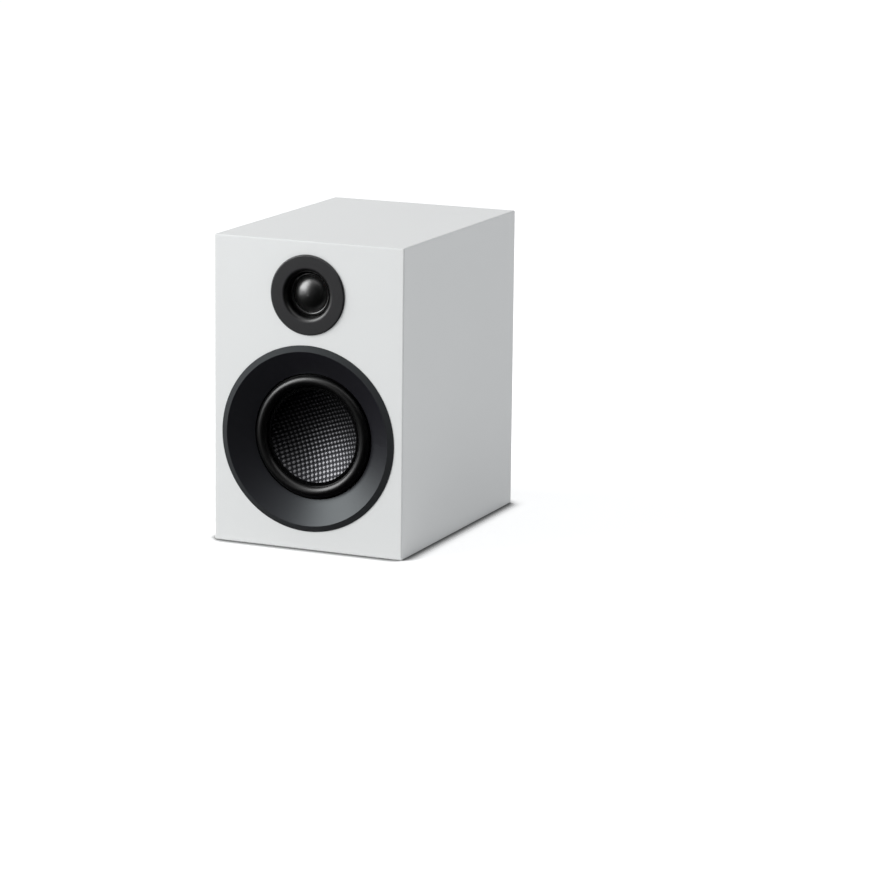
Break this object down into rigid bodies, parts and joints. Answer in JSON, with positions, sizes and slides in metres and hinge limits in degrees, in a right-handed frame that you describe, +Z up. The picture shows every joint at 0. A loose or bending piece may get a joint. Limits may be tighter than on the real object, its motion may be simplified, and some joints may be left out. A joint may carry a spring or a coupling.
{
  "type": "bookshelf loudspeaker",
  "caption": "White two-way bookshelf loudspeaker with a woven cone woofer, dome tweeter, rear port, binding posts and a black cloth grille set beside it.",
  "frame": {"origin": "middle of the cabinet's underside, on the surface it stands on", "axes": "+Z up, +X to the listener's right when facing the drivers, -Y out of the front baffle"},
  "size_m": [0.1709, 0.227, 0.226],
  "materials": {
    "cabinet_lacquer": "white satin lacquer on fibreboard",
    "raw_board": "bare fibreboard",
    "wadding": "soft polyester wadding",
    "black_moulding": "fine satin black",
    "grey_moulding": "satin charcoal",
    "port_moulding": "matt black",
    "soft_rubber": "satin black rubber",
    "gasket_rubber": "matt",
    "woven_cone": "glossy black plain-woven fibre",
    "spider_cloth": "resin-dipped cotton",
    "coil_copper": "enamelled copper",
    "basket_paint": "black paint",
    "zinc_steel": "zinc plated",
    "black_screw": "black oxide",
    "ferrite": "sintered ferrite",
    "silk_dome": "coated silk",
    "plated_brass": "gold plated",
    "red_plastic": "gloss",
    "black_plastic": "gloss",
    "board_laminate": "green laminate",
    "capacitor_film": "gloss film",
    "resistor_ceramic": "ceramic",
    "lead_jacket": "flexible jacket",
    "grille_board": "matt black",
    "grille_fabric": "fine black cloth"
  },
  "bodies": {
    "cabinet": {"baffle_magnets": "ferrite", "bass_inductor": "coil_copper", "black_collar": "black_plastic", "black_post": "plated_brass", "board_screws": "black_screw", "board_standoffs": "zinc_steel", "bottom_panel": "cabinet_lacquer", "capacitors": "capacitor_film", "crossover_board": "board_laminate", "damping_pads": "wadding", "front_baffle": "cabinet_lacquer", "input_leads": "lead_jacket", "input_lugs": "plated_brass", "left_side_panel": "cabinet_lacquer", "port_tube": "port_moulding", "post_nuts": "plated_brass", "rear_panel": "cabinet_lacquer", "red_collar": "red_plastic", "red_post": "plated_brass", "resistor": "resistor_ceramic", "right_side_panel": "cabinet_lacquer", "terminal_gasket": "gasket_rubber", "terminal_plate": "port_moulding", "terminal_screws": "black_screw", "top_panel": "cabinet_lacquer", "treble_inductor": "coil_copper", "tweeter_frame": "black_moulding", "tweeter_gasket": "gasket_rubber", "tweeter_leads": "lead_jacket", "tweeter_magnet": "ferrite", "tweeter_pole_disc": "zinc_steel", "tweeter_pot": "zinc_steel", "tweeter_screws": "black_screw", "tweeter_surround": "soft_rubber", "tweeter_tabs": "plated_brass", "tweeter_top_plate": "zinc_steel", "tweeter_trim_ring": "grey_moulding", "window_brace": "raw_board", "woofer_basket": "basket_paint", "woofer_gasket": "gasket_rubber", "woofer_leads": "lead_jacket", "woofer_magnet": "ferrite", "woofer_pole_plate": "zinc_steel", "woofer_screws": "black_screw", "woofer_spider": "spider_cloth", "woofer_surround": "soft_rubber", "woofer_tab_strip": "black_plastic", "woofer_top_plate": "zinc_steel", "woofer_trim_ring": "black_moulding"},
    "woofer_moving": {"woofer_cone": "woven_cone", "woofer_voice_coil": "coil_copper"},
    "tweeter_moving": {"tweeter_dome": "silk_dome", "tweeter_voice_coil": "coil_copper"},
    "red_washer_body": {"red_thrust_washer": "red_plastic"},
    "red_cap_body": {"red_cap": "red_plastic"},
    "black_washer_body": {"black_thrust_washer": "black_plastic"},
    "black_cap_body": {"black_cap": "black_plastic"},
    "grille": {"grille_frame": "grille_board", "grille_cloth": "grille_fabric", "grille_discs": "zinc_steel"}
  },
  "joints": [
    {"name": "woofer_travel", "type": "slide", "parent": "cabinet", "child": "woofer_moving", "axis": [0, -1, 0], "range_m": [-0.003, 0.003], "stiffness_N_per_m": 900, "deforming": ["woofer_surround", "woofer_spider"]},
    {"name": "tweeter_travel", "type": "slide", "parent": "cabinet", "child": "tweeter_moving", "axis": [0, -1, 0], "range_m": [-0.0003, 0.0003], "stiffness_N_per_m": 500, "deforming": ["tweeter_surround"]},
    {"name": "black_washer_slide", "type": "slide", "parent": "cabinet", "child": "black_washer_body", "axis": [0, 1, 0], "range_m": [0, 0.005]},
    {"name": "black_cap_turn", "type": "hinge", "parent": "black_washer_body", "child": "black_cap_body", "pos_m": [-0.0095, 0.114, 0.052], "axis": [0, 1, 0], "range_deg": [0, 1800]},
    {"name": "red_washer_slide", "type": "slide", "parent": "cabinet", "child": "red_washer_body", "axis": [0, 1, 0], "range_m": [0, 0.005]},
    {"name": "red_cap_turn", "type": "hinge", "parent": "red_washer_body", "child": "red_cap_body", "pos_m": [0.0095, 0.114, 0.052], "axis": [0, 1, 0], "range_deg": [0, 1800]},
    {"name": "grille_carry", "type": "hinge", "parent": "cabinet", "child": "grille", "pos_m": [-0.10626, -0.0845, 0.11911], "axis": [0.0314, 0.0314, 0.999], "range_deg": [0, 269.94]}
  ],
  "couplings": [
    {"joint": "black_cap_turn", "follows": "black_washer_slide", "rad_per_m": 6283.2},
    {"joint": "red_cap_turn", "follows": "red_washer_slide", "rad_per_m": 6283.2}
  ]
}
